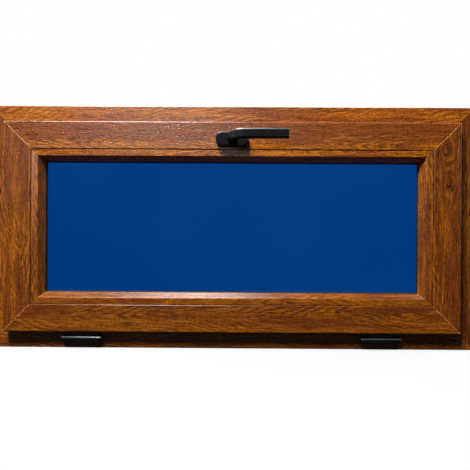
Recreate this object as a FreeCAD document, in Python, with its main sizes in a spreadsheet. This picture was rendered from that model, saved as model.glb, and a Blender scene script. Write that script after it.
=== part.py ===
import FreeCAD, Part
import math
import os
import re
import Sketcher

# Hopper window: bottom-hung sash that tips into the room, in an outer frame.
# X runs right as seen from the room, Y runs from the room to the outside, Z runs up.
# The origin lies at the centre of the frame's underside.

# Driving sizes in millimetres
SIZES = {
    "frame_width": 1000.0,
    "frame_height": 500.0,
    "frame_depth": 70.0,
    "frame_sight": 36.0,
    "frame_edge_radius": 2.0,
    "clip_inset": 10.0,
    "clip_width": 6.0,
    "clip_depth": 3.0,
    "mitre_margin": 6.0,
    "stop_thickness": 12.0,
    "stop_height": 24.0,
    "stop_slope": 4.0,
    "stop_gap": 5.0,
    "drain_channel_width": 18.0,
    "drain_channel_depth": 4.0,
    "rebate_gap": 12.0,
    "lip_overlap": 8.0,
    "lip_gap": 5.0,
    "lip_thickness": 12.0,
    "sash_face": 56.4,
    "sash_edge_radius": 3.0,
    "seat_radius": 1.6,
    "groove_radius": 0.5,
    "flange_height": 21.5,
    "flange_slope": 6.0,
    "gear_offset": 9.0,
    "gear_width": 16.0,
    "gear_depth": 4.0,
    "faceplate_thickness": 2.5,
    "faceplate_inset": 60.0,
    "bead_width": 22.7,
    "bead_depth": 19.0,
    "bead_face": 13.5,
    "bead_set": 1.0,
    "bead_fall": 1.5,
    "bead_groove_width": 0.8,
    "bead_groove_depth": 2.2,
    "bead_tip": 2.0,
    "bead_edge_radius": 2.0,
    "bead_foot_start": 8.0,
    "bead_foot_width": 3.5,
    "bead_foot_depth": 4.0,
    "bead_foot_play": 0.2,
    "bead_seal_thickness": 3.0,
    "bead_seal_height": 5.0,
    "glazing_seal_thickness": 4.0,
    "pane_thickness": 4.0,
    "pane_spacing": 16.0,
    "pane_edge_gap": 5.0,
    "spacer_inset": 2.0,
    "spacer_height": 9.0,
    "seal_play": 0.3,
    "seal_width": 4.0,
    "seal_foot": 3.0,
    "lip_seal_inset": 2.0,
    "frame_seal_inset": 3.0,
    "drain_inset": 220.0,
    "drain_length": 40.0,
    "drain_height": 14.0,
    "drain_thickness": 3.0,
    "drain_radius": 4.0,
    "hinge_inset": 195.0,
    "hinge_length": 78.0,
    "hinge_drop": 14.5,
    "knuckle_length": 12.0,
    "knuckle_gap": 0.5,
    "barrel_diameter": 12.0,
    "pin_diameter": 5.0,
    "pin_head_diameter": 8.0,
    "pin_head_length": 2.0,
    "running_play": 0.05,
    "leaf_thickness": 2.5,
    "leaf_height": 20.5,
    "leaf_corner_radius": 3.0,
    "leaf_pad_width": 10.0,
    "leaf_pad_thickness": 4.5,
    "handle_inset": 36.9,
    "rosette_length": 65.0,
    "rosette_height": 28.5,
    "rosette_thickness": 10.0,
    "rosette_radius": 12.0,
    "rosette_bevel": 2.0,
    "journal_diameter": 14.0,
    "journal_depth": 6.0,
    "collar_diameter": 19.0,
    "collar_length": 5.0,
    "lever_reach": 108.0,
    "neck_diameter": 17.0,
    "lever_height": 19.2,
    "lever_thickness": 11.0,
    "lever_bevel": 3.0,
    "lever_projection": 53.0,
    "lever_tip_bevel": 1.2,
    "elbow_radius": 24.0,
}

# Positions that follow from the sizes
DERIVED = {
    "rebate_floor": "frame_sight + lip_overlap",
    "stop_face": "frame_depth - stop_thickness",
    "stop_top": "rebate_floor + stop_height",
    "sash_front": "frame_depth / 2 + lip_gap + lip_thickness",
    "sash_depth": "lip_thickness + lip_gap + stop_face - stop_gap",
    "sash_width": "frame_width - 2 * frame_sight",
    "sash_height": "frame_height - 2 * frame_sight",
    "lip_reach": "lip_overlap + rebate_gap",
    "flange_face": "pane_front + unit_depth + glazing_seal_thickness",
    "flange_top": "sash_face + flange_height",
    "bead_line": "frame_sight + sash_face",
    "sight_line": "bead_line + bead_width",
    "pane_edge": "bead_line + pane_edge_gap",
    "pane_front": "bead_depth + bead_seal_thickness",
    "unit_depth": "2 * pane_thickness + pane_spacing",
    "gear_start": "lip_thickness + gear_offset",
    "frame_seal_start": "rebate_floor + rebate_gap + frame_seal_inset",
    "hinge_place": "frame_width / 2 - hinge_inset",
    "hinge_height": "frame_sight - hinge_drop",
    "hinge_standoff": "barrel_diameter / 2 + knuckle_gap + leaf_thickness",
    "hinge_front": "frame_depth / 2 + hinge_standoff",
    "sash_knuckle": "hinge_length - 2 * knuckle_length - 2 * knuckle_gap",
    "bore_radius": "pin_diameter / 2 + running_play",
    "handle_height": "frame_height - frame_sight - handle_inset",
    "collar_start": "rosette_thickness + seal_play",
    "collar_end": "collar_start + collar_length",
    "lever_centre": "lever_projection - lever_thickness / 2",
    "elbow_start": "lever_centre - elbow_radius",
}

V = FreeCAD.Vector
TOLERANCE = 1e-6
doc = FreeCAD.newDocument("hopper_window")
sheet = doc.addObject("Spreadsheet::Sheet", "Sizes")
for row, (alias, size) in enumerate(SIZES.items(), start=1):
    sheet.set(f"A{row}", alias.replace("_", " "))
    sheet.set(f"B{row}", str(size))
    sheet.setAlias(f"B{row}", alias)
doc.recompute()


# Formulas and placing
def spelled(text):
    def spell(match):
        word = match.group(0)
        if word in DERIVED:
            return f"({spelled(DERIVED[word])})"
        return f"Sizes.{word}"
    return re.sub(r"[a-z][a-z_]*", spell, text)


def value(text):
    return float(sheet.evalExpression(spelled(text)))


def bind(thing, prop, text):
    thing.setExpression(prop, spelled(text))


def place(thing, x="0", y="0", z="0", turn=0.0):
    thing.Placement = FreeCAD.Placement(V(0, 0, 0), FreeCAD.Rotation(V(0, 1, 0), turn))
    for axis, text in zip("xyz", (x, y, z)):
        bind(thing, f"Placement.Base.{axis}", text)
    doc.recompute()


def new_body(name):
    return doc.addObject("PartDesign::Body", name)


# Sketches
def new_sketch(body, plane, offset="0", across="0"):
    sketch = body.newObject("Sketcher::SketchObject", "Sketch")
    support = next(item for item in body.Origin.OriginFeatures if item.Role == plane)
    sketch.AttachmentSupport = [(support, "")]
    sketch.MapMode = "FlatFace"
    bind(sketch, "AttachmentOffset.Base.x", across)
    bind(sketch, "AttachmentOffset.Base.z", offset)
    return sketch


def hold(sketch, kind, element, point, text):
    size = value(text)
    if abs(size) < TOLERANCE:
        axis = -2 if kind == "DistanceX" else -1
        sketch.addConstraint(Sketcher.Constraint("PointOnObject", element, point, axis))
        return
    if size > 0:
        index = sketch.addConstraint(Sketcher.Constraint(kind, -1, 1, element, point, size))
        bind(sketch, f"Constraints[{index}]", text)
    else:
        index = sketch.addConstraint(Sketcher.Constraint(kind, element, point, -1, 1, -size))
        bind(sketch, f"Constraints[{index}]", f"-({text})")


def polygon(sketch, corners):
    points = [V(value(across), value(up), 0) for across, up in corners]
    first = sketch.GeometryCount
    count = len(points)
    for index in range(count):
        sketch.addGeometry(Part.LineSegment(points[index], points[(index + 1) % count]))
    for index in range(count):
        following = first + (index + 1) % count
        sketch.addConstraint(Sketcher.Constraint("Coincident", first + index, 2, following, 1))
    for index, (across, up) in enumerate(corners):
        hold(sketch, "DistanceX", first + index, 1, across)
        hold(sketch, "DistanceY", first + index, 1, up)


def rectangle(sketch, half_width, half_height):
    polygon(sketch, [
        (f"-({half_width})", f"-({half_height})"),
        (half_width, f"-({half_height})"),
        (half_width, half_height),
        (f"-({half_width})", half_height),
    ])


def bevelled_rectangle(sketch, half_width, half_height, bevel):
    inner_width = f"{half_width} - {bevel}"
    inner_height = f"{half_height} - {bevel}"
    quadrant = [(half_width, inner_height), (inner_width, half_height)]
    corners = quadrant + [(f"-({across})", up) for across, up in reversed(quadrant)]
    corners += [(f"-({across})", f"-({up})") for across, up in quadrant]
    corners += [(across, f"-({up})") for across, up in reversed(quadrant)]
    polygon(sketch, corners)


def rounded_rectangle(sketch, half_width, half_height, radius):
    w, h, r = (value(text) for text in (half_width, half_height, radius))
    quarter = math.pi / 2
    corners = [(w - r, r - h), (w - r, h - r), (r - w, h - r), (r - w, r - h)]
    for index, (x, y) in enumerate(corners):
        turn = index * quarter - quarter
        arc = Part.ArcOfCircle(Part.Circle(V(x, y, 0), V(0, 0, 1), r), turn, turn + quarter)
        sketch.addGeometry(arc)
        following = corners[(index + 1) % 4]
        leaving = V(r * math.cos(turn + quarter), r * math.sin(turn + quarter), 0)
        sketch.addGeometry(Part.LineSegment(V(x, y, 0) + leaving, V(*following, 0) + leaving))
    for index in range(8):
        sketch.addConstraint(Sketcher.Constraint("Tangent", index, 2, (index + 1) % 8, 1))
    for line, way in ((1, "Vertical"), (3, "Horizontal"), (5, "Vertical"), (7, "Horizontal")):
        sketch.addConstraint(Sketcher.Constraint(way, line))
    for arc in (2, 4, 6):
        sketch.addConstraint(Sketcher.Constraint("Equal", 0, arc))
    held = sketch.addConstraint(Sketcher.Constraint("Radius", 0, r))
    bind(sketch, f"Constraints[{held}]", radius)
    hold(sketch, "DistanceX", 1, 1, half_width)
    hold(sketch, "DistanceY", 3, 1, half_height)
    hold(sketch, "DistanceX", 5, 1, f"-({half_width})")
    hold(sketch, "DistanceY", 7, 1, f"-({half_height})")


def circle(sketch, radius):
    index = sketch.addGeometry(Part.Circle(V(0, 0, 0), V(0, 0, 1), value(radius)))
    sketch.addConstraint(Sketcher.Constraint("Coincident", index, 3, -1, 1))
    held = sketch.addConstraint(Sketcher.Constraint("Radius", index, value(radius)))
    bind(sketch, f"Constraints[{held}]", radius)


# Features
def pad(body, sketch, length, symmetric=False, reverse=False):
    feature = body.newObject("PartDesign::Pad", "Pad")
    feature.Profile = sketch
    bind(feature, "Length", length)
    feature.SideType = "Symmetric" if symmetric else "One side"
    feature.Reversed = reverse
    doc.recompute()
    return feature


def pocket_through(body, sketch):
    before = body.Shape.Volume
    feature = body.newObject("PartDesign::Pocket", "Pocket")
    feature.Profile = sketch
    feature.Type = "ThroughAll"
    feature.SideType = "Symmetric"
    doc.recompute()
    if body.Shape.Volume > before - TOLERANCE:
        raise RuntimeError(f"pocket of {body.Label} cuts nothing")
    return feature


def pocket_blind(body, sketch, depth, reverse=False):
    before = body.Shape.Volume
    feature = body.newObject("PartDesign::Pocket", "Pocket")
    feature.Profile = sketch
    bind(feature, "Length", depth)
    feature.Reversed = reverse
    doc.recompute()
    if body.Shape.Volume > before - TOLERANCE:
        raise RuntimeError(f"pocket of {body.Label} cuts nothing")
    return feature


def fillet(body, feature, names, radius):
    rounding = body.newObject("PartDesign::Fillet", "Fillet")
    rounding.Base = (feature, names)
    bind(rounding, "Radius", radius)
    doc.recompute()
    return rounding


def chamfer(body, feature, names, size):
    bevel = body.newObject("PartDesign::Chamfer", "Chamfer")
    bevel.Base = (feature, names)
    bind(bevel, "Size", size)
    doc.recompute()
    return bevel


def edges_along(feature, direction):
    names = []
    for index, edge in enumerate(feature.Shape.Edges, start=1):
        span = edge.Vertexes[-1].Point - edge.Vertexes[0].Point
        if span.Length > TOLERANCE and span.cross(direction).Length < TOLERANCE * span.Length:
            names.append(f"Edge{index}")
    return names


def edges_at(feature, across, up):
    names = []
    for name in edges_along(feature, V(1, 0, 0)):
        point = feature.Shape.getElement(name).Vertexes[0].Point
        if abs(point.y - value(across)) < TOLERANCE and abs(point.z - value(up)) < TOLERANCE:
            names.append(name)
    return names


# Bars of a rectangular frame, mitred at 45 degrees at both ends
SIDE_ANGLES = {"bottom": 0, "top": 180, "left": 90, "right": -90}


def side_place(side, inset):
    places = {
        "bottom": ("0", inset),
        "top": ("0", f"frame_height - ({inset})"),
        "left": (f"{inset} - frame_width / 2", "frame_height / 2"),
        "right": (f"frame_width / 2 - ({inset})", "frame_height / 2"),
    }
    span = "frame_height" if side in ("left", "right") else "frame_width"
    return *places[side], f"{span} - 2 * ({inset})"


def mitred_bar(name, side, inset, front, corners, lowest, highest, roundings):
    x, z, length = side_place(side, inset)
    body = new_body(name)
    section = new_sketch(body, "YZ_Plane")
    polygon(section, corners)
    bar = pad(body, section, f"{length} - 2 * ({lowest})", symmetric=True)
    for radius, places in roundings:
        names = [edge for across, up in places for edge in edges_at(bar, across, up)]
        bar = fillet(body, bar, names, radius)
    mitre = new_sketch(body, "XZ_Plane")
    near = f"({length}) / 2 - ({lowest}) + mitre_margin"
    far = f"({length}) / 2 - ({highest}) - mitre_margin"
    bottom = f"({lowest}) - mitre_margin"
    ceiling = f"({highest}) + mitre_margin"
    polygon(mitre, [(near, bottom), (near, ceiling), (far, ceiling)])
    polygon(mitre, [(f"-({near})", bottom), (f"-({far})", ceiling), (f"-({near})", ceiling)])
    pocket_through(body, mitre)
    place(body, x, f"-({front})", z, SIDE_ANGLES[side])
    return body


FRAME_SECTION = [
    ("0", "0"),
    ("clip_inset", "0"),
    ("clip_inset", "clip_depth"),
    ("clip_inset + clip_width", "clip_depth"),
    ("clip_inset + clip_width", "0"),
    ("frame_depth - clip_inset - clip_width", "0"),
    ("frame_depth - clip_inset - clip_width", "clip_depth"),
    ("frame_depth - clip_inset", "clip_depth"),
    ("frame_depth - clip_inset", "0"),
    ("frame_depth", "0"),
    ("frame_depth", "stop_top - stop_slope"),
    ("stop_face", "stop_top"),
    ("stop_face", "frame_seal_start + seal_width"),
    ("stop_face + seal_foot", "frame_seal_start + seal_width"),
    ("stop_face + seal_foot", "frame_seal_start"),
    ("stop_face", "frame_seal_start"),
    ("stop_face", "rebate_floor - drain_channel_depth"),
    ("stop_face - drain_channel_width", "rebate_floor - drain_channel_depth"),
    ("stop_face - drain_channel_width", "rebate_floor"),
    ("0", "rebate_floor"),
]
FRAME_ROUNDINGS = [
    ("frame_edge_radius", [
        ("0", "0"),
        ("frame_depth", "0"),
        ("frame_depth", "stop_top - stop_slope"),
        ("stop_face", "stop_top"),
        ("0", "rebate_floor"),
    ]),
]
FRAME_BARS = {
    "bottom": "frame_sill",
    "top": "frame_head",
    "left": "frame_left_jamb",
    "right": "frame_right_jamb",
}
for side, name in FRAME_BARS.items():
    mitred_bar(name, side, "0", "frame_depth / 2", FRAME_SECTION, "0", "stop_top", FRAME_ROUNDINGS)

SASH_SECTION = [
    ("0", "0"),
    ("lip_thickness", "0"),
    ("lip_thickness", "lip_seal_inset"),
    ("lip_thickness - seal_foot", "lip_seal_inset"),
    ("lip_thickness - seal_foot", "lip_seal_inset + seal_width"),
    ("lip_thickness", "lip_seal_inset + seal_width"),
    ("lip_thickness", "lip_reach"),
    ("gear_start", "lip_reach"),
    ("gear_start", "lip_reach + gear_depth"),
    ("gear_start + gear_width", "lip_reach + gear_depth"),
    ("gear_start + gear_width", "lip_reach"),
    ("sash_depth", "lip_reach"),
    ("sash_depth", "flange_top - flange_slope"),
    ("flange_face", "flange_top"),
    ("flange_face", "sash_face"),
    ("bead_foot_start + bead_foot_width", "sash_face"),
    ("bead_foot_start + bead_foot_width", "sash_face - bead_foot_depth"),
    ("bead_foot_start", "sash_face - bead_foot_depth"),
    ("bead_foot_start", "sash_face"),
    ("0", "sash_face"),
]
SASH_ROUNDINGS = [
    ("sash_edge_radius", [
        ("0", "0"),
        ("sash_depth", "flange_top - flange_slope"),
        ("sash_depth", "lip_reach"),
    ]),
    ("seat_radius", [("0", "sash_face")]),
    ("groove_radius", [("lip_thickness", "0")]),
]
SASH_BARS = {
    "bottom": "sash_bottom_rail",
    "top": "sash_top_rail",
    "left": "sash_left_stile",
    "right": "sash_right_stile",
}
for side, name in SASH_BARS.items():
    mitred_bar(name, side, "frame_sight", "sash_front", SASH_SECTION, "0", "flange_top", SASH_ROUNDINGS)

BEAD_SECTION = [
    ("bead_set", "bead_groove_width"),
    ("bead_groove_depth", "bead_groove_width"),
    ("bead_groove_depth", "0"),
    ("bead_foot_start + bead_foot_play", "0"),
    ("bead_foot_start + bead_foot_play", "bead_foot_play - bead_foot_depth"),
    ("bead_foot_start + bead_foot_width - bead_foot_play", "bead_foot_play - bead_foot_depth"),
    ("bead_foot_start + bead_foot_width - bead_foot_play", "0"),
    ("bead_depth", "0"),
    ("bead_depth", "bead_width"),
    ("bead_depth - bead_tip", "bead_width"),
    ("bead_set + bead_fall", "bead_face"),
]
BEAD_ROUNDINGS = [
    ("bead_edge_radius", [("bead_set + bead_fall", "bead_face")]),
    ("groove_radius", [("bead_set", "bead_groove_width")]),
]
for side in SIDE_ANGLES:
    mitred_bar(f"bead_{side}", side, "bead_line", "sash_front", BEAD_SECTION,
               "bead_foot_play - bead_foot_depth", "bead_width", BEAD_ROUNDINGS)


# Rings that follow the frame all round, in layers of outer inset, inner inset, start and thickness
def ring(name, front, layers):
    body = new_body(name)
    for outer, inner, start, thickness in layers:
        outline = new_sketch(body, "XZ_Plane", f"-({start})")
        for inset in (outer, inner):
            rectangle(outline, f"frame_width / 2 - ({inset})", f"frame_height / 2 - ({inset})")
        pad(body, outline, thickness, reverse=True)
    place(body, "0", f"-({front})", "frame_height / 2")
    return body


SEAL_REACH = "stop_gap - seal_play"
ring("frame_seal", "frame_depth / 2", [
    ("frame_seal_start", "frame_seal_start + seal_width", "stop_face", "seal_foot"),
    ("frame_seal_start", "frame_seal_start + seal_width", f"stop_face - ({SEAL_REACH})", SEAL_REACH),
])
LIP_SEAL = "frame_sight + lip_seal_inset"
ring("sash_seal", "sash_front", [
    (LIP_SEAL, f"{LIP_SEAL} + seal_width", "lip_thickness - seal_foot", "seal_foot + lip_gap - seal_play"),
])
ring("bead_seal", "sash_front", [
    ("sight_line - bead_seal_height", "sight_line", "bead_depth", "bead_seal_thickness"),
])
FLANGE_LINE = "frame_sight + flange_top"
ring("glazing_seal", "sash_front", [
    (f"{FLANGE_LINE} - bead_seal_height", FLANGE_LINE, "pane_front + unit_depth", "glazing_seal_thickness"),
])
ring("glass_spacer", "sash_front", [
    ("pane_edge + spacer_inset", "pane_edge + spacer_inset + spacer_height", "pane_front + pane_thickness",
     "pane_spacing"),
])


# Flat boxes: panes and gear faceplate
def box(name, length, width, height, x, y, z):
    block = doc.addObject("Part::Box", name)
    for prop, text in zip(("Length", "Width", "Height"), (length, width, height)):
        bind(block, prop, text)
    place(block, x, y, z)
    return block


for name, start in (("glass_room_pane", "pane_front"),
                    ("glass_outer_pane", "pane_front + pane_thickness + pane_spacing")):
    box(name, "frame_width - 2 * pane_edge", "pane_thickness", "frame_height - 2 * pane_edge",
        "pane_edge - frame_width / 2", f"({start}) - (sash_front)", "pane_edge")

box("gear_faceplate", "sash_width - 2 * faceplate_inset", "gear_width", "faceplate_thickness",
    "faceplate_inset - sash_width / 2", "gear_start - (sash_front)",
    "frame_height - frame_sight - lip_reach - gear_depth")


# Drain caps on the outside of the sill
for side, sign in (("left", "-"), ("right", "")):
    body = new_body(f"drain_cap_{side}")
    outline = new_sketch(body, "XZ_Plane")
    rounded_rectangle(outline, "drain_length / 2", "drain_height / 2", "drain_radius")
    pad(body, outline, "drain_thickness", reverse=True)
    place(body, f"{sign}(frame_width / 2 - drain_inset)", "frame_depth / 2", "rebate_floor / 2")


# Barrel hinges: frame leaf with two end knuckles, sash leaf with the middle knuckle, headed pin
def hinge(side, sign):
    spot = (f"{sign}hinge_place", "-(hinge_front)", "hinge_height")
    barrel = "barrel_diameter / 2"

    leaf = new_body(f"hinge_{side}_frame_leaf")
    plate = new_sketch(leaf, "YZ_Plane")
    polygon(plate, [
        ("hinge_standoff", "-leaf_height"),
        ("hinge_standoff", barrel),
        ("0", barrel),
        ("0", "0"),
        ("hinge_standoff - leaf_thickness", "0"),
        ("hinge_standoff - leaf_thickness", "-leaf_height"),
    ])
    sheet_metal = pad(leaf, plate, "hinge_length", symmetric=True)
    corners = [name for name in edges_along(sheet_metal, V(0, 1, 0))
               if abs(sheet_metal.Shape.getElement(name).BoundBox.ZMax + value("leaf_height")) < TOLERANCE]
    fillet(leaf, sheet_metal, corners, "leaf_corner_radius")
    rim = new_sketch(leaf, "YZ_Plane")
    circle(rim, barrel)
    pad(leaf, rim, "hinge_length", symmetric=True)
    gap = new_sketch(leaf, "XZ_Plane", "leaf_thickness - (hinge_standoff)")
    rectangle(gap, "hinge_length / 2 - knuckle_length", "barrel_diameter")
    pocket_blind(leaf, gap, "2 * barrel_diameter", reverse=True)
    bore = new_sketch(leaf, "YZ_Plane")
    circle(bore, "bore_radius")
    pocket_through(leaf, bore)
    place(leaf, *spot)

    flap = new_body(f"hinge_{side}_sash_leaf")
    for front, foot, length in (
        ("0", "0", "sash_knuckle"),
        ("-leaf_pad_width / 2", "hinge_drop - leaf_pad_thickness", "hinge_length"),
    ):
        web = new_sketch(flap, "YZ_Plane")
        polygon(web, [
            (front, foot),
            ("leaf_pad_width / 2", foot),
            ("leaf_pad_width / 2", "hinge_drop"),
            (front, "hinge_drop"),
        ])
        pad(flap, web, length, symmetric=True)
    rim = new_sketch(flap, "YZ_Plane")
    circle(rim, barrel)
    pad(flap, rim, "sash_knuckle", symmetric=True)
    bore = new_sketch(flap, "YZ_Plane")
    circle(bore, "bore_radius")
    pocket_through(flap, bore)
    place(flap, *spot)

    pin = new_body(f"hinge_{side}_pin")
    outline = new_sketch(pin, "XY_Plane")
    half = "hinge_length / 2"
    tip = "hinge_length / 2 + pin_head_length"
    polygon(outline, [
        (f"-({tip})", "0"),
        (tip, "0"),
        (tip, "pin_head_diameter / 2"),
        (half, "pin_head_diameter / 2"),
        (half, "pin_diameter / 2"),
        (f"-({half})", "pin_diameter / 2"),
        (f"-({half})", "pin_head_diameter / 2"),
        (f"-({tip})", "pin_head_diameter / 2"),
    ])
    turning = pin.newObject("PartDesign::Revolution", "Revolution")
    turning.Profile = outline
    turning.ReferenceAxis = (outline, ["H_Axis"])
    doc.recompute()
    place(pin, *spot)


hinge("left", "-")
hinge("right", "")


# Handle: rosette on the top rail, turned journal and collar, lever swept round an elbow
HANDLE_SPOT = ("0", "-(sash_front)", "handle_height")

rosette = new_body("handle_rosette")
outline = new_sketch(rosette, "XZ_Plane")
rounded_rectangle(outline, "rosette_length / 2", "rosette_height / 2", "rosette_radius")
plate = pad(rosette, outline, "rosette_thickness")
front = [f"Edge{index}" for index, edge in enumerate(plate.Shape.Edges, start=1)
         if abs(edge.BoundBox.YMax + value("rosette_thickness")) < TOLERANCE]
chamfer(rosette, plate, front, "rosette_bevel")
bore = new_sketch(rosette, "XZ_Plane", "rosette_thickness")
circle(bore, "journal_diameter / 2 + running_play")
pocket_blind(rosette, bore, "journal_depth")
place(rosette, *HANDLE_SPOT)

collar = new_body("handle_collar")
outline = new_sketch(collar, "XY_Plane")
polygon(outline, [
    ("0", "seal_play + journal_depth - collar_start"),
    ("journal_diameter / 2", "seal_play + journal_depth - collar_start"),
    ("journal_diameter / 2", "-(collar_start)"),
    ("collar_diameter / 2", "-(collar_start)"),
    ("collar_diameter / 2", "-(collar_start) - collar_length / 2"),
    ("neck_diameter / 2", "-(collar_end)"),
    ("0", "-(collar_end)"),
])
turning = collar.newObject("PartDesign::Revolution", "Revolution")
turning.Profile = outline
turning.ReferenceAxis = (outline, ["V_Axis"])
doc.recompute()
place(collar, *HANDLE_SPOT)

lever = new_body("handle_lever")
outline = new_sketch(lever, "XY_Plane")
polygon(outline, [
    ("0", "-(collar_end)"),
    ("neck_diameter / 2", "-(collar_end)"),
    ("lever_thickness / 2", "-(elbow_start)"),
    ("0", "-(elbow_start)"),
])
neck = lever.newObject("PartDesign::Revolution", "Neck")
neck.Profile = outline
neck.ReferenceAxis = (outline, ["V_Axis"])
doc.recompute()
spine = new_sketch(lever, "XY_Plane")
start, bend, straight, centre, reach = (
    value(text) for text in ("collar_end", "elbow_radius", "elbow_start", "lever_centre", "lever_reach"))
spine.addGeometry(Part.LineSegment(V(0, -start, 0), V(0, -straight, 0)))
turn = Part.Circle(V(bend, -straight, 0), V(0, 0, 1), bend)
spine.addGeometry(Part.ArcOfCircle(turn, math.pi, 1.5 * math.pi))
spine.addGeometry(Part.LineSegment(V(bend, -centre, 0), V(reach, -centre, 0)))
spine.addConstraint(Sketcher.Constraint("Tangent", 0, 2, 1, 1))
spine.addConstraint(Sketcher.Constraint("Tangent", 1, 2, 2, 1))
spine.addConstraint(Sketcher.Constraint("Vertical", 0))
spine.addConstraint(Sketcher.Constraint("Horizontal", 2))
hold(spine, "DistanceX", 0, 1, "0")
hold(spine, "DistanceY", 0, 1, "-(collar_end)")
hold(spine, "DistanceX", 2, 2, "lever_reach")
hold(spine, "DistanceY", 2, 2, "-(lever_centre)")
held = spine.addConstraint(Sketcher.Constraint("Radius", 1, bend))
bind(spine, f"Constraints[{held}]", "elbow_radius")
section = new_sketch(lever, "XZ_Plane", "collar_end")
bevelled_rectangle(section, "lever_thickness / 2", "lever_height / 2", "lever_bevel")
bar = lever.newObject("PartDesign::AdditivePipe", "Bar")
bar.Profile = section
bar.Spine = (spine, ["Edge1", "Edge2", "Edge3"])
doc.recompute()
tip = [f"Edge{index}" for index, edge in enumerate(bar.Shape.Edges, start=1)
       if abs(edge.BoundBox.XMin - value("lever_reach")) < TOLERANCE]
chamfer(lever, bar, tip, "lever_tip_bevel")
place(lever, *HANDLE_SPOT)

# Every sub-part to its own file
doc.recompute()
for item in doc.Objects:
    if "Invalid" in item.State or "Error" in item.State:
        raise RuntimeError(f"{item.Label}: {item.State}")
os.makedirs("parts", exist_ok=True)
for item in doc.Objects:
    if item.TypeId in ("PartDesign::Body", "Part::Box"):
        if item.Shape.isNull() or not item.Shape.isValid():
            raise RuntimeError(f"{item.Label} has no valid shape")
        item.Shape.exportStep(f"parts/{item.Label}.step")
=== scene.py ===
import math

import bmesh
import bpy
from mathutils import Matrix, Vector


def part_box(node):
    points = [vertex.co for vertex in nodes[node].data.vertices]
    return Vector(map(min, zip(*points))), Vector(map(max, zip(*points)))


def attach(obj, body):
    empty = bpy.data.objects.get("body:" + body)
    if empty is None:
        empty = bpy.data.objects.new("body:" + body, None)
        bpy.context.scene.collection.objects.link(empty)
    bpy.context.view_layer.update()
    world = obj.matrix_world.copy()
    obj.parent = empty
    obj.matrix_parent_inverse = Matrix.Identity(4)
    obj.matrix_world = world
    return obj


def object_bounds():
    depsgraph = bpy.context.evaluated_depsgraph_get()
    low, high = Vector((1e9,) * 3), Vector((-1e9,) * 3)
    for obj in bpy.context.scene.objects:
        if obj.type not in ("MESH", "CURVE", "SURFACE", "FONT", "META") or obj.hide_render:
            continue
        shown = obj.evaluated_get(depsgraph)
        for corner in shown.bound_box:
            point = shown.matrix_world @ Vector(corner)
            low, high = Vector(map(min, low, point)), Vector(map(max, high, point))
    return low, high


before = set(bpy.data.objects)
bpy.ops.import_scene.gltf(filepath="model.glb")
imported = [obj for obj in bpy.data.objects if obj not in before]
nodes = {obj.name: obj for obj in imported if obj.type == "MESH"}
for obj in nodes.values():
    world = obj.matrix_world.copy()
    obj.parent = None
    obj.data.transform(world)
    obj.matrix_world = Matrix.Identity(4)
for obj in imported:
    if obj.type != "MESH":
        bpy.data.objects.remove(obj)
cad_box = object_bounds()
scene = bpy.context.scene

MM = 0.001
TO_MM = 1000.0
WHITE = (1.0, 1.0, 1.0, 1.0)

# Most values of a noise lie between these two, about its middle
NOISE_LOW = 0.3
NOISE_MIDDLE = 0.5
NOISE_HIGH = 0.7

# Sockets of the Mix node when it mixes colours
MIX_FACTOR = 0
MIX_FIRST = 6
MIX_SECOND = 7
MIX_RESULT = 2


# Colours and node graphs
def srgb(red, green, blue):
    def channel(value):
        value /= 255
        return value / 12.92 if value <= 0.04045 else ((value + 0.055) / 1.055) ** 2.4
    return (channel(red), channel(green), channel(blue), 1.0)


def grey(value):
    return (value, value, value, 1.0)


def shade(color, factor):
    return tuple(factor * value for value in color[:3]) + (1.0,)


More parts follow.
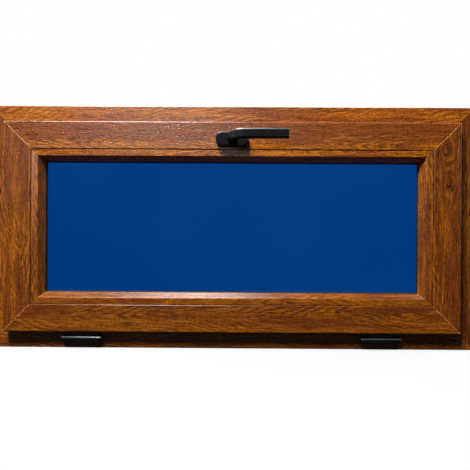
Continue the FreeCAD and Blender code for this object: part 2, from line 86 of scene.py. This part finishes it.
class Graph:
    """The node tree of a material, or of the world."""
    def __init__(self, owner):
        owner.use_nodes = True
        self.owner = owner
        self.tree = owner.node_tree
        self.shader = self.tree.nodes.get("Principled BSDF") or self.tree.nodes["Background"]

    def feed(self, socket, value):
        if isinstance(value, bpy.types.NodeSocket):
            self.tree.links.new(value, socket)
        else:
            socket.default_value = value

    def add(self, kind, inputs=(), **settings):
        node = self.tree.nodes.new("ShaderNode" + kind)
        for key, value in settings.items():
            setattr(node, key, value)
        for key, value in dict(inputs).items():
            self.feed(node.inputs[key], value)
        return node

    def place(self):
        return self.add("TexCoord").outputs["Object"]

    def math(self, operation, *values):
        return self.add("Math", enumerate(values), operation=operation).outputs[0]

    def dot(self, vector, direction):
        return self.add("VectorMath", {0: vector, 1: direction}, operation="DOT_PRODUCT").outputs["Value"]

    def vector(self, x, y, z):
        return self.add("CombineXYZ", {0: x, 1: y, 2: z}).outputs[0]

    def scale(self, color, factor):
        return self.add("VectorMath", {0: color, "Scale": factor}, operation="SCALE").outputs[0]

    def stretch(self, vector, factors):
        return self.add("VectorMath", {0: vector, 1: factors}, operation="MULTIPLY").outputs[0]

    def noise(self, vector, scale, detail, roughness=0.5):
        inputs = {"Vector": vector, "Scale": scale, "Detail": detail, "Roughness": roughness}
        return self.add("TexNoise", inputs).outputs["Fac"]

    def span(self, factor, low, high, start=0.0, end=1.0):
        inputs = {"Value": factor, "From Min": start, "From Max": end, "To Min": low, "To Max": high}
        return self.add("MapRange", inputs).outputs[0]

    def spread(self, noise, low, high):
        """The usual values of a noise, spread from low to high."""
        return self.span(noise, low, high, NOISE_LOW, NOISE_HIGH)

    def about(self, noise, weight, base):
        """A base that the noise moves up and down."""
        return self.math("MULTIPLY_ADD", self.math("SUBTRACT", noise, NOISE_MIDDLE), weight, base)

    def bell(self, distance, reach):
        """One at no distance, fading over the reach."""
        squared = self.math("POWER", distance, 2.0)
        return self.math("EXPONENT", self.math("MULTIPLY", squared, -reach ** -2))

    def two_tone(self, noise, dark, light, start=NOISE_LOW):
        node = self.add("ValToRGB", {0: noise})
        for element, position, color in zip(node.color_ramp.elements, (start, NOISE_HIGH), (dark, light)):
            element.position = position
            element.color = color
        return node.outputs["Color"]

    def mix(self, factor, first, second):
        node = self.add("Mix", data_type="RGBA")
        self.feed(node.inputs[MIX_FACTOR], factor)
        self.feed(node.inputs[MIX_FIRST], first)
        self.feed(node.inputs[MIX_SECOND], second)
        return node.outputs[MIX_RESULT]

    def bump(self, height, strength, depth):
        node = self.add("Bump", {"Height": height, "Strength": strength, "Distance": depth})
        self.feed(self.shader.inputs["Normal"], node.outputs[0])

    def finish(self, color, roughness, **constants):
        self.feed(self.shader.inputs["Base Color"], color)
        self.feed(self.shader.inputs["Roughness"], roughness)
        for name, value in constants.items():
            self.shader.inputs[name.replace("_", " ").title().replace("Ior", "IOR")].default_value = value
        return self.owner


def paint(name):
    return Graph(bpy.data.materials.new(name))


# Directions of the foil's print along and across a bar, in mm; depth counts in part across the bar
DEPTH_TO_MM = 830.0
LOWER = ((TO_MM, 0.0, 0.0), (0.0, DEPTH_TO_MM, TO_MM))
UPPER = ((TO_MM, 0.0, 0.0), (0.0, -DEPTH_TO_MM, TO_MM))
LEFT = ((0.0, 0.0, TO_MM), (TO_MM, DEPTH_TO_MM, 0.0))
RIGHT = ((0.0, 0.0, TO_MM), (TO_MM, -DEPTH_TO_MM, 0.0))

# Golden oak colours
OAK_RED = srgb(122, 60, 14)
OAK_GOLD = srgb(160, 88, 7)
OAK_PALE = srgb(186, 112, 36)
OAK_LINE = srgb(70, 30, 6)

# Layers of the print: length and width of a mark in mm, place in the noise, detail, roughness
LAYERS = {
    "heart": (210.0, 900.0, 1.7, 1.0, 0.5),
    "zone": (150.0, 24.0, 2.3, 2.0, 0.5),
    "drift": (95.0, 26.0, 3.1, 2.0, 0.5),
    "waver": (14.0, 6.0, 4.3, 2.0, 0.5),
    "fibre": (42.0, 1.9, 5.7, 3.0, 0.6),
    "streak": (90.0, 4.5, 7.9, 2.0, 0.5),
    "band": (160.0, 14.0, 9.3, 1.5, 0.5),
    "speck": (4.4, 2.3, 13.7, 1.0, 0.5),
    "fleck": (18.0, 3.6, 15.1, 2.0, 0.5),
    "pore": (36.0, 2.0, 17.3, 1.0, 0.5),
    "emboss": (3.6, 2.6, 19.1, 1.0, 0.5),
}

# Heart line and arches of the growth lines, in mm; drift and waver are in spacings
HEART_WANDER = 60.0
HEART_ROUND = 5.0
ARCH_SPACING = 7.5
ARCH_LENGTH = 34.0
ARCH_DRIFT = 3.0
ARCH_WAVER = 0.7

# Zones of strong figure; a bar's lean is per hundred mm
ZONE_LEAST = 0.1
ZONE_RANGE = (0.42, 0.58)
ZONE_LEAN = 0.3
LEAN_UNIT = 100.0

# Knots by bar: x and z in metres, size in mm; the reaches are in sizes
KNOTS = {"sash_right_stile": [(0.437, 0.41, 15.0), (0.4405, 0.345, 8.0)]}
KNOT_STRETCH = 2.2
KNOT_RINGS = 1.6
KNOT_RING_REACH = 1.5
KNOT_BLUSH_REACH = 3.0
KNOT_CORE_REACH = 0.5
KNOT_RED = 0.2
KNOT_DARK = 0.8

# Bands of red-brown and gold
BAND_MIDDLE = 0.46
BAND_RANGE = (0.38, 0.62)
BAND_ZONE = 0.16
BAND_FIGURE = 0.3
FIGURE_MIDDLE = 0.45

# Weights of the fine marks
FIBRE_WEIGHTS = (1.6, 2.9)
STILE_CONTRAST = 1.3
STREAK_WEIGHT = 0.6
SPECK_WEIGHT = 2.2
FLECK_MOST = 0.7
FLECK_RANGE = (0.54, 0.7)
LINE_POWER = 2.2
LINE_DARK = 0.6
PORE_DARK = 0.55
PORE_RANGE = (0.58, 0.72)
GRAIN_SHARE = 0.3
EMBOSS_DEPTH = 0.5 * MM
FOIL_ROUGHNESS = (0.24, 0.34)
FOIL_SPECULAR = 0.4


def foil(name, direction, seed, tone, gold, lean, relief):
    """Printed oak; lean moves gold and figure to the lower side of a bar, relief deepens the emboss."""
    graph = paint(f"{name}_foil")
    low, high = (Vector(corner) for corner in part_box(name))
    middle = (low + high) / 2
    run, rise = direction
    heart = Vector(rise).dot((middle.x, low.y, middle.z))
    spot = graph.place()
    along = graph.dot(spot, run)
    across = graph.math("SUBTRACT", graph.dot(spot, rise), heart)

    # Fibres part round each knot
    knots = []
    for x, z, size in KNOTS.get(name, []):
        knot = Vector((x, low.y, z))
        beyond = graph.math("SUBTRACT", along, knot.dot(run))
        beside = graph.math("SUBTRACT", across, knot.dot(rise) - heart)
        reach = graph.vector(graph.math("DIVIDE", beyond, KNOT_STRETCH), beside, 0.0)
        far = graph.add("VectorMath", {0: reach}, operation="LENGTH").outputs["Value"]
        spread = graph.math("MULTIPLY_ADD", far, far, (size / 2) ** 2)
        parting = graph.math("DIVIDE", -size ** 2, spread)
        across = graph.math("MULTIPLY_ADD", beside, parting, across)
        knots.append((far, size))

    def printed(layer):
        length, width, place, detail, roughness = LAYERS[layer]
        u = graph.math("DIVIDE", along, length)
        v = graph.math("DIVIDE", across, width)
        return graph.noise(graph.vector(u, v, seed + place), 1.0, detail, roughness)

    # Nested arches about a wandering heart line
    off_heart = graph.about(printed("heart"), HEART_WANDER, across)
    rounded = graph.math("SQRT", graph.math("MULTIPLY_ADD", off_heart, off_heart, HEART_ROUND ** 2))
    arch = graph.math("DIVIDE", rounded, ARCH_SPACING)
    arch = graph.math("MULTIPLY_ADD", along, -1 / ARCH_LENGTH, arch)
    arch = graph.about(printed("drift"), ARCH_DRIFT, arch)
    lower = graph.math("MULTIPLY", across, -lean / LEAN_UNIT)
    zone = graph.math("MULTIPLY_ADD", lower, ZONE_LEAN, printed("zone"))
    zone = graph.span(zone, ZONE_LEAST, 1.0, *ZONE_RANGE)

    # Rings, a red blush and a dark core on each knot
    blush = 0.0
    core = 0.0
    for far, size in knots:
        arch = graph.math("FRACT", arch)
        turn = graph.math("SUBTRACT", graph.math("MULTIPLY", far, KNOT_RINGS / size), arch)
        arch = graph.math("MULTIPLY_ADD", graph.bell(far, KNOT_RING_REACH * size), turn, arch)
        blush = graph.math("MAXIMUM", blush, graph.bell(far, KNOT_BLUSH_REACH * size))
        core = graph.math("MAXIMUM", core, graph.bell(far, KNOT_CORE_REACH * size))
        zone = graph.math("MAXIMUM", zone, blush)
    arch = graph.about(printed("waver"), ARCH_WAVER, arch)
    ring = graph.math("PINGPONG", graph.math("MULTIPLY", arch, 2.0), 1.0)

    # Bands of colour; the gold follows the arches where the figure is strong
    band = graph.about(printed("band"), 1.0, BAND_MIDDLE + gold)
    band = graph.math("ADD", band, lower)
    figure = graph.math("MULTIPLY", graph.math("SUBTRACT", FIGURE_MIDDLE, ring), zone)
    band = graph.math("MULTIPLY_ADD", figure, BAND_FIGURE, band)
    band = graph.about(zone, BAND_ZONE, band)
    if knots:
        band = graph.math("MULTIPLY_ADD", blush, -KNOT_RED, band)
    golden = graph.span(band, 0.0, 1.0, *BAND_RANGE)
    color = graph.mix(golden, shade(OAK_RED, tone), shade(OAK_GOLD, tone))

    # Light and dark of the fibres, then pale flecks, then dark lines, pores and knots
    fibre = printed("fibre")
    contrast = STILE_CONTRAST if direction in (LEFT, RIGHT) else 1.0
    plain, figured = (weight * contrast for weight in FIBRE_WEIGHTS)
    light = graph.about(fibre, graph.span(zone, plain, figured), 1.0)
    light = graph.about(printed("streak"), STREAK_WEIGHT, light)
    light = graph.about(printed("speck"), SPECK_WEIGHT, light)
    color = graph.scale(color, light)
    fleck = graph.span(printed("fleck"), 0.0, FLECK_MOST, *FLECK_RANGE)
    color = graph.mix(graph.math("MULTIPLY", fleck, zone), color, shade(OAK_PALE, tone))
    line = graph.math("MULTIPLY", graph.math("POWER", ring, LINE_POWER), zone)
    pore = graph.span(printed("pore"), 0.0, PORE_DARK, *PORE_RANGE)
    dark = graph.math("MAXIMUM", graph.math("MULTIPLY", line, LINE_DARK), pore)
    if knots:
        dark = graph.math("MAXIMUM", dark, graph.math("MULTIPLY", core, KNOT_DARK))
    color = graph.mix(dark, color, shade(OAK_LINE, tone))

    # Emboss of the foil
    grain = graph.math("SUBTRACT", fibre, dark)
    grain = graph.math("MULTIPLY_ADD", grain, GRAIN_SHARE, printed("emboss"))
    graph.bump(grain, relief, EMBOSS_DEPTH)
    return graph.finish(color, graph.spread(fibre, *FOIL_ROUGHNESS), specular_ior_level=FOIL_SPECULAR)


# Direction, seed, tone, gold, lean and relief of each bar; a few tones carry painted sheen or painted
# shade
FOILS = {
    "frame_sill": (LOWER, 11.0, 1.1, 0.0, 0.0, 0.5),
    # The head's raised tone is partly painted sheen
    "frame_head": (UPPER, 23.0, 1.2, 0.0, 0.0, 1.2),
    "frame_left_jamb": (LEFT, 31.0, 1.0, 0.0, 0.0, 0.6),
    # The right jamb's low tone is partly painted shade
    "frame_right_jamb": (RIGHT, 47.0, 0.7, 0.0, 0.0, 0.6),
    "sash_bottom_rail": (LOWER, 53.0, 0.85, 0.02, 0.5, 0.4),
    "sash_top_rail": (UPPER, 61.0, 1.1, -0.02, 1.5, 1.7),
    "sash_left_stile": (LEFT, 71.0, 0.92, 0.02, 0.0, 1.0),
    "sash_right_stile": (RIGHT, 83.0, 0.88, -0.03, 0.0, 0.9),
    "bead_bottom": (LOWER, 97.0, 0.75, 0.06, 0.0, 0.5),
    # The top bead's raised tone is partly painted sheen
    "bead_top": (UPPER, 103.0, 1.65, 0.05, 0.0, 1.5),
    "bead_left": (LEFT, 113.0, 1.0, 0.05, 0.0, 0.6),
    "bead_right": (RIGHT, 127.0, 0.88, 0.0, 0.0, 0.6),
}


# Other finishes
def coat(name, dark, light, tone, grain, relief, roughness, specular,
         by_grain=False, start=NOISE_LOW, over=None):
    """Clouds of two colours under a fine grain.

    tone and grain hold the scale and detail of their noise, relief the strength and depth of the grain,
    and over is a function that paints over the colours.
    """
    graph = paint(name)
    clouds = graph.noise(graph.place(), *tone)
    fine = graph.noise(graph.place(), *grain)
    color = graph.two_tone(clouds, dark, light, start)
    if over:
        color = over(graph, color)
    if relief:
        graph.bump(fine, *relief)
    rough = graph.spread(fine if by_grain else clouds, *roughness)
    return graph.finish(color, rough, specular_ior_level=specular)


def seam_paint(name, dark, light):
    return coat(name, dark, light, tone=(300.0, 3.0), grain=(300.0, 3.0), relief=(0.3, 0.1 * MM),
                roughness=(0.4, 0.55), specular=0.2)


def black_coat(name, strength, roughness, specular, over=None):
    return coat(name, srgb(8, 8, 9), srgb(15, 15, 16), tone=(90.0, 2.0), grain=(1400.0, 2.0),
                relief=(strength, 0.08 * MM), roughness=roughness, specular=specular,
                by_grain=True, over=over)


# Lacquer of the hinge's leaf, and the heights in mm between which the black barrel gives way to it
LEAF_TOP = 9.0
BARREL_FOOT = 14.0
LACQUER_TONE = (120.0, 3.0)
LACQUER_DARK = srgb(92, 44, 14)
LACQUER_LIGHT = srgb(116, 58, 18)


def lacquered_leaf(graph, black):
    """Brown-black lacquer on the leaf below the barrel."""
    height = graph.dot(graph.place(), (0.0, 0.0, TO_MM))
    clouds = graph.noise(graph.place(), *LACQUER_TONE)
    lacquer = graph.two_tone(clouds, LACQUER_DARK, LACQUER_LIGHT)
    return graph.mix(graph.span(height, 1.0, 0.0, LEAF_TOP, BARREL_FOOT), black, lacquer)


# Drawn metal: fineness across the lines, their detail, relief and roughness
DRAWN_FINE = 1500.0
DRAWN_DETAIL = 3.0
DRAWN_RELIEF = (0.2, 0.05 * MM)
DRAWN_ROUGHNESS = (0.28, 0.46)


def metal(name, dark, light, along):
    """Metal with drawn lines in x; along is their fineness in that direction."""
    graph = paint(name)
    lines = graph.stretch(graph.place(), (along, DRAWN_FINE, DRAWN_FINE))
    drawn = graph.noise(lines, 1.0, DRAWN_DETAIL)
    color = graph.two_tone(drawn, dark, light)
    graph.bump(drawn, *DRAWN_RELIEF)
    return graph.finish(color, graph.spread(drawn, *DRAWN_ROUGHNESS), metallic=1.0)


FINISHES = {
    "seal_rubber": coat(
        "seal_rubber", srgb(17, 17, 18), srgb(33, 33, 34), tone=(220.0, 3.0), grain=(2600.0, 2.0),
        relief=(0.25, 0.1 * MM), roughness=(0.62, 0.78), specular=0.25, start=0.35),
    "fitting_black": black_coat(
        "fitting_black", strength=0.18, roughness=(0.28, 0.38), specular=0.35),
    "glass_blue": coat(
        "glass_blue", srgb(3, 59, 129), srgb(5, 63, 134), tone=(3.0, 1.0), grain=(60.0, 3.0),
        relief=None, roughness=(0.04, 0.08), specular=0.04, by_grain=True),
    "cap_plastic": coat(
        "cap_plastic", srgb(66, 36, 18), srgb(86, 48, 24), tone=(160.0, 3.0), grain=(1800.0, 2.0),
        relief=(0.3, 0.1 * MM), roughness=(0.45, 0.6), specular=0.35),
    "spacer_metal": metal("spacer_metal", srgb(150, 150, 150), srgb(184, 184, 184), along=20.0),
    "gear_steel": metal("gear_steel", srgb(150, 148, 140), srgb(196, 194, 186), along=12.0),
}
HINGE_BLACK = black_coat(
    "hinge_black", strength=0.05, roughness=(0.13, 0.18), specular=0.6, over=lacquered_leaf)

for name, part in nodes.items():
    plain = part.material_slots[0].material.name.split(".")[0]
    if name in FOILS:
        part.material_slots[0].material = foil(name, *FOILS[name])
    elif name.startswith("hinge"):
        part.material_slots[0].material = HINGE_BLACK
    else:
        part.material_slots[0].material = FINISHES[plain]


# Pieces
HALF_WIDTH = cad_box[1][0]
HALF_HEIGHT = cad_box[1][2] / 2


def inset_point(corner, inset, depth):
    """A point on a mitre, at an inset from the frame's edges."""
    side, level = corner
    return Vector((side * (HALF_WIDTH - inset), depth, HALF_HEIGHT + level * (HALF_HEIGHT - inset)))


def placed(name, data):
    item = bpy.data.objects.new(name, data)
    scene.collection.objects.link(item)
    return item


def placed_mesh(name, shape, material):
    mesh = bpy.data.meshes.new(name)
    shape.to_mesh(mesh)
    shape.free()
    mesh.materials.append(material)
    return placed(name, mesh)


def skinned(name, rings, closed, material, body):
    """A piece of rings of points joined one to the next; an open run is capped at both ends."""
    shape = bmesh.new()
    loops = [[shape.verts.new(point) for point in ring] for ring in rings]
    following = loops[1:] + loops[:1] if closed else loops[1:]
    count = len(loops[0])
    for first, second in zip(loops, following):
        for index in range(count):
            after = (index + 1) % count
            shape.faces.new((first[index], first[after], second[after], second[index]))
    if not closed:
        shape.faces.new(loops[0][::-1])
        shape.faces.new(loops[-1])
    bmesh.ops.recalc_face_normals(shape, faces=shape.faces)
    piece = placed_mesh(name, shape, material)
    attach(piece, body)


# Weld seams on the mitres; the profile is in half widths and rises, the swell in widths
SEAM_WIDTH = 0.9 * MM
SEAM_RISE = 0.15 * MM
SEAM_SINK = 0.3 * MM
SEAM_FOOT = -SEAM_SINK / SEAM_RISE
SEAM_PROFILE = [
    (-1.0, SEAM_FOOT), (-1.0, 0.0), (-0.6, 0.7), (0.0, 1.0), (0.6, 0.7), (1.0, 0.0), (1.0, SEAM_FOOT),
]
SEAM_STEPS = 24
SEAM_SWELL = 0.18
SEAM_QUICK_WAVE = 2.1
SEAM_SLOW_WAVE = 0.7
WELDS = {
    "sash": seam_paint("sash_weld", srgb(184, 122, 76), srgb(228, 176, 130)),
    # The frame's weld is darker than the sash's: painted shade, matching the shade over the frame's lower
    # corners
    "frame": seam_paint("frame_weld", srgb(112, 62, 28), srgb(146, 88, 46)),
}
BOTTOM_LEFT = (-1, -1)
BOTTOM_RIGHT = (1, -1)
TOP_LEFT = (-1, 1)
TOP_RIGHT = (1, 1)
CORNERS = {
    "bottom_left": BOTTOM_LEFT,
    "bottom_right": BOTTOM_RIGHT,
    "top_left": TOP_LEFT,
    "top_right": TOP_RIGHT,
}

# Body, slot, outer and inner inset, depth and facing of each welded face
FACES = {
    "sash_room": ("sash", "sash_rail_foil", 37.5 * MM, 91.2 * MM, -52.0 * MM, -1),
    "frame_room": ("frame", "frame_rail_foil", 1.5 * MM, 36.0 * MM, -35.0 * MM, -1),
    "frame_outside": ("frame", "frame_rail_foil", 2.0 * MM, 64.0 * MM, 35.0 * MM, 1),
    "sash_outside": ("sash", "sash_rail_foil", 70.0 * MM, 104.0 * MM, 18.0 * MM, 1),
}


def weld_seam(name, corner, body, slot, outer, inner, depth, facing):
    """A half-round bead along a mitre, from its outer to its inner inset."""
    start = inset_point(corner, outer, depth)
    end = inset_point(corner, inner, depth)
    out = Vector((0.0, facing, 0.0))
    wide = (end - start).normalized().cross(out)
    rings = []
    for step in range(SEAM_STEPS + 1):
        spot = start.lerp(end, step / SEAM_STEPS)
        wave = math.sin(SEAM_QUICK_WAVE * step) * math.sin(SEAM_SLOW_WAVE * step + 1.0)
        half = (1.0 + SEAM_SWELL * wave) * SEAM_WIDTH / 2
        rings.append([spot + wide * (a * half) + out * (b * SEAM_RISE) for a, b in SEAM_PROFILE])
    skinned(name, rings, False, WELDS[body], body)


for face, values in FACES.items():
    for corner_name, corner in CORNERS.items():
        weld_seam(f"weld_seam_{face}_{corner_name}", corner, *values)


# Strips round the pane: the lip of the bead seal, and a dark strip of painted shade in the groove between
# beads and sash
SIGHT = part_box("bead_bottom")[1][2]
LIP_REACH = 1.8 * MM
LIP_ROOT = 1.0 * MM
BEAD_WIDTH = 22.7 * MM
GROOVE_WIDTH = 0.8 * MM
GROOVE_FLOOR = 2.2 * MM
SHADE_STRIP_HEIGHT = 1.4 * MM
SHADE_STRIP_FOOT = -0.1 * MM / SHADE_STRIP_HEIGHT
# Dark brown of the strip: painted shade, standing for the shadow in the open groove
SHADE_STRIP_PAINT = seam_paint("painted_shade_groove", srgb(16, 7, 2), srgb(28, 13, 4))

# Section of the painted-shade strip, in groove widths from the sash and strip heights from the groove's
# floor
SHADE_STRIP_PROFILE = [
    (0.0, SHADE_STRIP_FOOT), (0.0, 0.5), (-0.15, 0.85), (0.1, 1.0),
    (0.8, 1.0), (1.15, 0.8), (1.0, 0.5), (1.0, SHADE_STRIP_FOOT),
]


def mitred(corners, profile):
    """The rings of a strip at its mitres; the profile holds insets and depths."""
    return [[inset_point(corner, inset, depth) for inset, depth in profile] for corner in corners]


def glazing_lip():
    """The soft edge of the bead seal, rooted in the seal behind the beads."""
    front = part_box("bead_seal")[0][1]
    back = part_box("bead_seal")[1][1]
    middle = (front + back) / 2
    upper = (front + middle) / 2
    under = (back + middle) / 2
    profile = [
        (-LIP_ROOT, front), (0.4 * LIP_REACH, front), (0.8 * LIP_REACH, upper),
        (LIP_REACH, middle), (0.8 * LIP_REACH, under), (-LIP_ROOT, under),
    ]
    rings = mitred([BOTTOM_LEFT, BOTTOM_RIGHT, TOP_RIGHT, TOP_LEFT],
                   [(SIGHT + reach, depth) for reach, depth in profile])
    skinned("glazing_lip", rings, True, FINISHES["seal_rubber"], "sash")


def groove_shade_strip():
    """A dark strip of painted shade in the groove at the sides and the top, spread a little over the
    groove's edges; the lit bottom groove has none.
    """
    line = SIGHT - BEAD_WIDTH
    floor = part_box("sash_right_stile")[0][1] + GROOVE_FLOOR
    profile = [(line + a * GROOVE_WIDTH, floor - b * SHADE_STRIP_HEIGHT) for a, b in SHADE_STRIP_PROFILE]
    rings = mitred([BOTTOM_LEFT, TOP_LEFT, TOP_RIGHT, BOTTOM_RIGHT], profile)
    skinned("groove_shade_strip", rings, False, SHADE_STRIP_PAINT, "sash")


glazing_lip()
groove_shade_strip()


# Stage: pale floor, and white surroundings with a dim room in front of the window for the gloss
FLOOR_SIZE = 6.0
FLOOR_BOUNCE = grey(0.02)
FLOOR_PALE = grey(0.14)
FLOOR_GLOW = 0.75
FLOOR_ROUGHNESS = 0.9
FLOOR_IN_GLOSS = 0.02
ROOM_IN_GLOSS = 0.08
ROOM_RANGE = (-0.6, 0.2)
FILL = 0.03


def seen_directly(graph, in_gloss):
    path = graph.add("LightPath").outputs
    seen = graph.math("MAXIMUM", path["Is Camera Ray"], path["Is Transmission Ray"])
    return graph.math("MAXIMUM", seen, graph.math("MULTIPLY", path["Is Glossy Ray"], in_gloss))


def floor_paint():
    graph = paint("floor_pale")
    seen = seen_directly(graph, FLOOR_IN_GLOSS)
    graph.feed(graph.shader.inputs["Emission Color"], WHITE)
    graph.feed(graph.shader.inputs["Emission Strength"], graph.math("MULTIPLY", seen, FLOOR_GLOW))
    color = graph.mix(seen, FLOOR_BOUNCE, FLOOR_PALE)
    return graph.finish(color, FLOOR_ROUGHNESS, specular_ior_level=0.0)


def surroundings():
    world = bpy.data.worlds.new("surroundings")
    graph = Graph(world)
    depth = graph.dot(graph.add("TexCoord").outputs["Generated"], (0.0, 1.0, 0.0))
    seen = seen_directly(graph, graph.span(depth, ROOM_IN_GLOSS, 1.0, *ROOM_RANGE))
    graph.feed(graph.shader.inputs["Color"], WHITE)
    graph.feed(graph.shader.inputs["Strength"], graph.math("MAXIMUM", seen, FILL))
    return world


floor_shape = bmesh.new()
bmesh.ops.create_grid(floor_shape, x_segments=1, y_segments=1, size=FLOOR_SIZE)
floor = placed_mesh("floor", floor_shape, floor_paint())
scene.world = surroundings()

# Soft lights aimed at the window's centre: place, width and height, power, and the kind of light they give
CENTRE = Vector((0.0, -0.05, 0.25))
LAMPS = {
    "key": ((-0.72, -1.12, 2.5), (0.8, 0.8), 150.0, "both"),
    "sheen": ((-0.55, -2.4, 0.98), (1.0, 0.5), 17.0, "gloss"),
    "overhead": ((-0.5, 0.6, 2.3), (1.7, 0.4), 60.0, "gloss"),
    "rear": ((0.7, 2.2, 1.7), (1.2, 1.2), 70.0, "both"),
    "side": ((2.4, 0.5, 0.6), (1.0, 1.0), 36.0, "matt"),
    "glint_left": ((-1.3, -1.12, 2.5), (0.5, 0.5), 14.0, "gloss"),
    "glint_right": ((1.3, -1.12, 2.5), (0.5, 0.5), 4.0, "gloss"),
    "even": ((0.0, -2.6, 0.7), (1.6, 1.6), 72.0, "matt"),
}


def soft_light(name, place, size, power, gives):
    lamp = bpy.data.lights.new(name, "AREA")
    lamp.shape = "RECTANGLE"
    lamp.size, lamp.size_y = size
    lamp.energy = power
    holder = placed(name, lamp)
    holder.location = place
    holder.rotation_euler = (CENTRE - Vector(place)).to_track_quat("-Z", "Y").to_euler()
    holder.visible_diffuse = gives != "gloss"
    holder.visible_glossy = gives != "matt"
    return holder


def linked(name, parts, state):
    """A collection for light linking that holds only these parts (INCLUDE), or all but them (EXCLUDE)."""
    group = bpy.data.collections.new(name)
    for part in parts:
        group.objects.link(part)
    for entry in group.collection_objects:
        entry.light_linking.link_state = state
    return group


def finished_in(slot):
    return [part for part in nodes.values() if part.material_slots[0].material == FINISHES[slot]]


linking = {name: soft_light(name, *values).light_linking for name, values in LAMPS.items()}
PANES = finished_in("glass_blue")
WITHOUT_SHEEN = PANES + finished_in("fitting_black") + [nodes["bead_bottom"]]
key_lit = linked("key_lit", PANES, "EXCLUDE")
for name in ("key", "glint_left", "glint_right"):
    linking[name].receiver_collection = key_lit
linking["sheen"].receiver_collection = linked("sheen_lit", WITHOUT_SHEEN, "EXCLUDE")
linking["even"].receiver_collection = linked("even_lit", PANES, "INCLUDE")
linking["overhead"].blocker_collection = linked("overhead_shading", PANES, "EXCLUDE")

# Camera at the photograph's viewing angle; the lens is in mm, the turns in radians
LENS = 28.02
SENSOR_WIDTH = 36.0
CAMERA_PLACE = (0.0099, -0.7908, 0.2347)
CAMERA_YAW = 0.0038
CAMERA_ROLL = 0.0062
camera = bpy.data.cameras.new("camera")
camera.lens = LENS
camera.sensor_width = SENSOR_WIDTH
viewer = placed("camera", camera)
yaw = Matrix.Rotation(CAMERA_YAW, 4, "Z")
ahead = Matrix.Rotation(math.pi / 2, 4, "X")
roll = Matrix.Rotation(CAMERA_ROLL, 4, "Z")
viewer.matrix_world = Matrix.Translation(CAMERA_PLACE) @ yaw @ ahead @ roll
scene.camera = viewer
scene.view_settings.view_transform = "Standard"
